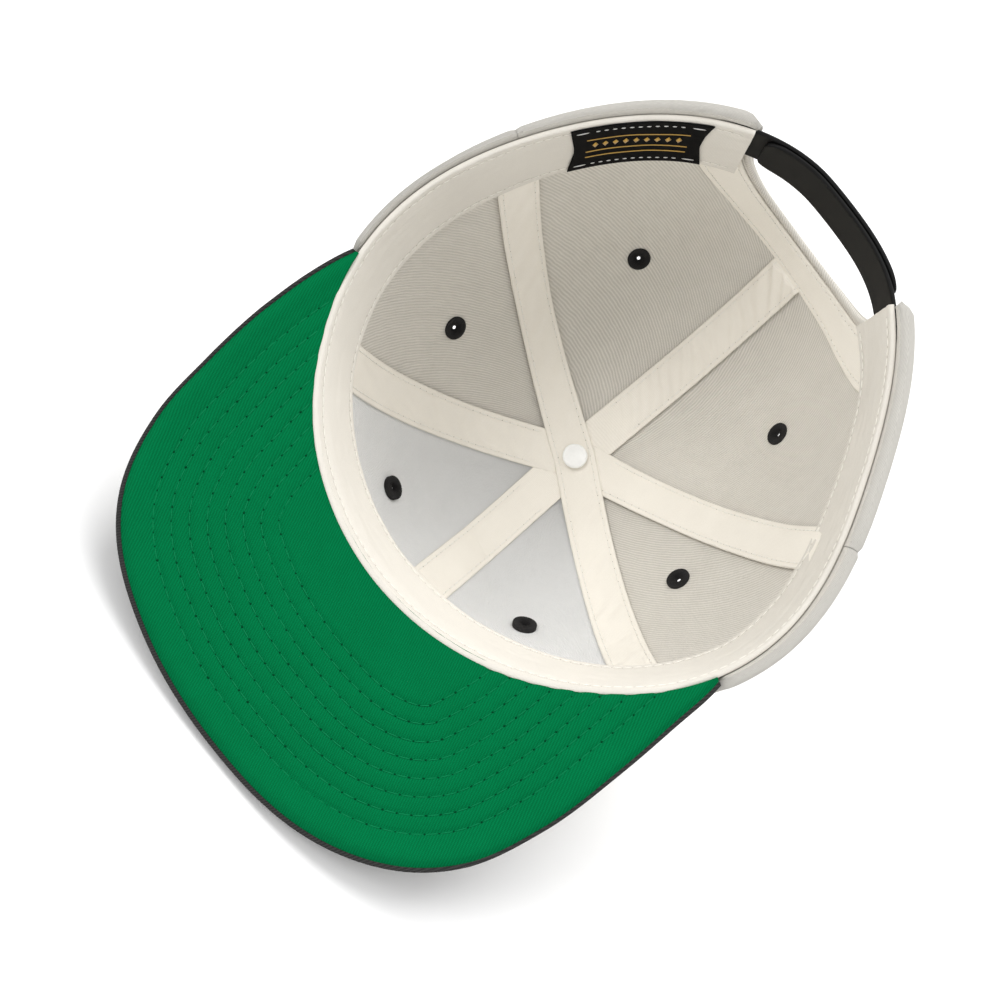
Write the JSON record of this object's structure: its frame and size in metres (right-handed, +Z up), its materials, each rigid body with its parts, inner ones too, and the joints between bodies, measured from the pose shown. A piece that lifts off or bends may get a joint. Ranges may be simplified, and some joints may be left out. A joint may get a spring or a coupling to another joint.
{
  "type": "snapback cap",
  "caption": "Flat-brim cap with a panelled crown, green under-peak, sweatband and snap strap, lying upturned on its crown and peak tip.",
  "frame": {"origin": "on the floor, below the middle of the cap's box", "axes": "+Z up, -Y the way the peak points, +Y the strap side; the cap lies upturned, tipped towards its peak"},
  "size_m": [0.1852, 0.2442, 0.1816],
  "materials": {
    "twill": "fine cream twill, matte",
    "cotton": "smooth cream cotton, matte",
    "buckram": "pale stiffened cloth",
    "thread": "black embroidery thread, slight sheen",
    "black_cloth": "black twill, matte",
    "green_twill": "green twill, matte",
    "label": "black woven label with gold and white thread",
    "strap": "black moulded plastic, satin",
    "backing": "pale metal disc, satin"
  },
  "bodies": {
    "root": {"panel_front_left": "twill", "panel_side_left": "twill", "panel_back_left": "twill", "panel_back_right": "twill", "panel_side_right": "twill", "panel_front_right": "twill", "stiffener_left": "buckram", "stiffener_right": "buckram", "tape_cross": "cotton", "tape_front_left": "cotton", "tape_front": "cotton", "tape_side_right": "cotton", "tape_back": "cotton", "arch_binding": "cotton", "sweatband": "cotton", "label": "label", "eyelet_front_left": "thread", "eyelet_side_left": "thread", "eyelet_back_left": "thread", "eyelet_back_right": "thread", "eyelet_side_right": "thread", "eyelet_front_right": "thread", "button": "black_cloth", "button_backing": "backing", "peak_upper": "black_cloth", "peak_under": "green_twill", "strap_outer": "strap", "strap_inner": "strap"}
  },
  "joints": []
}
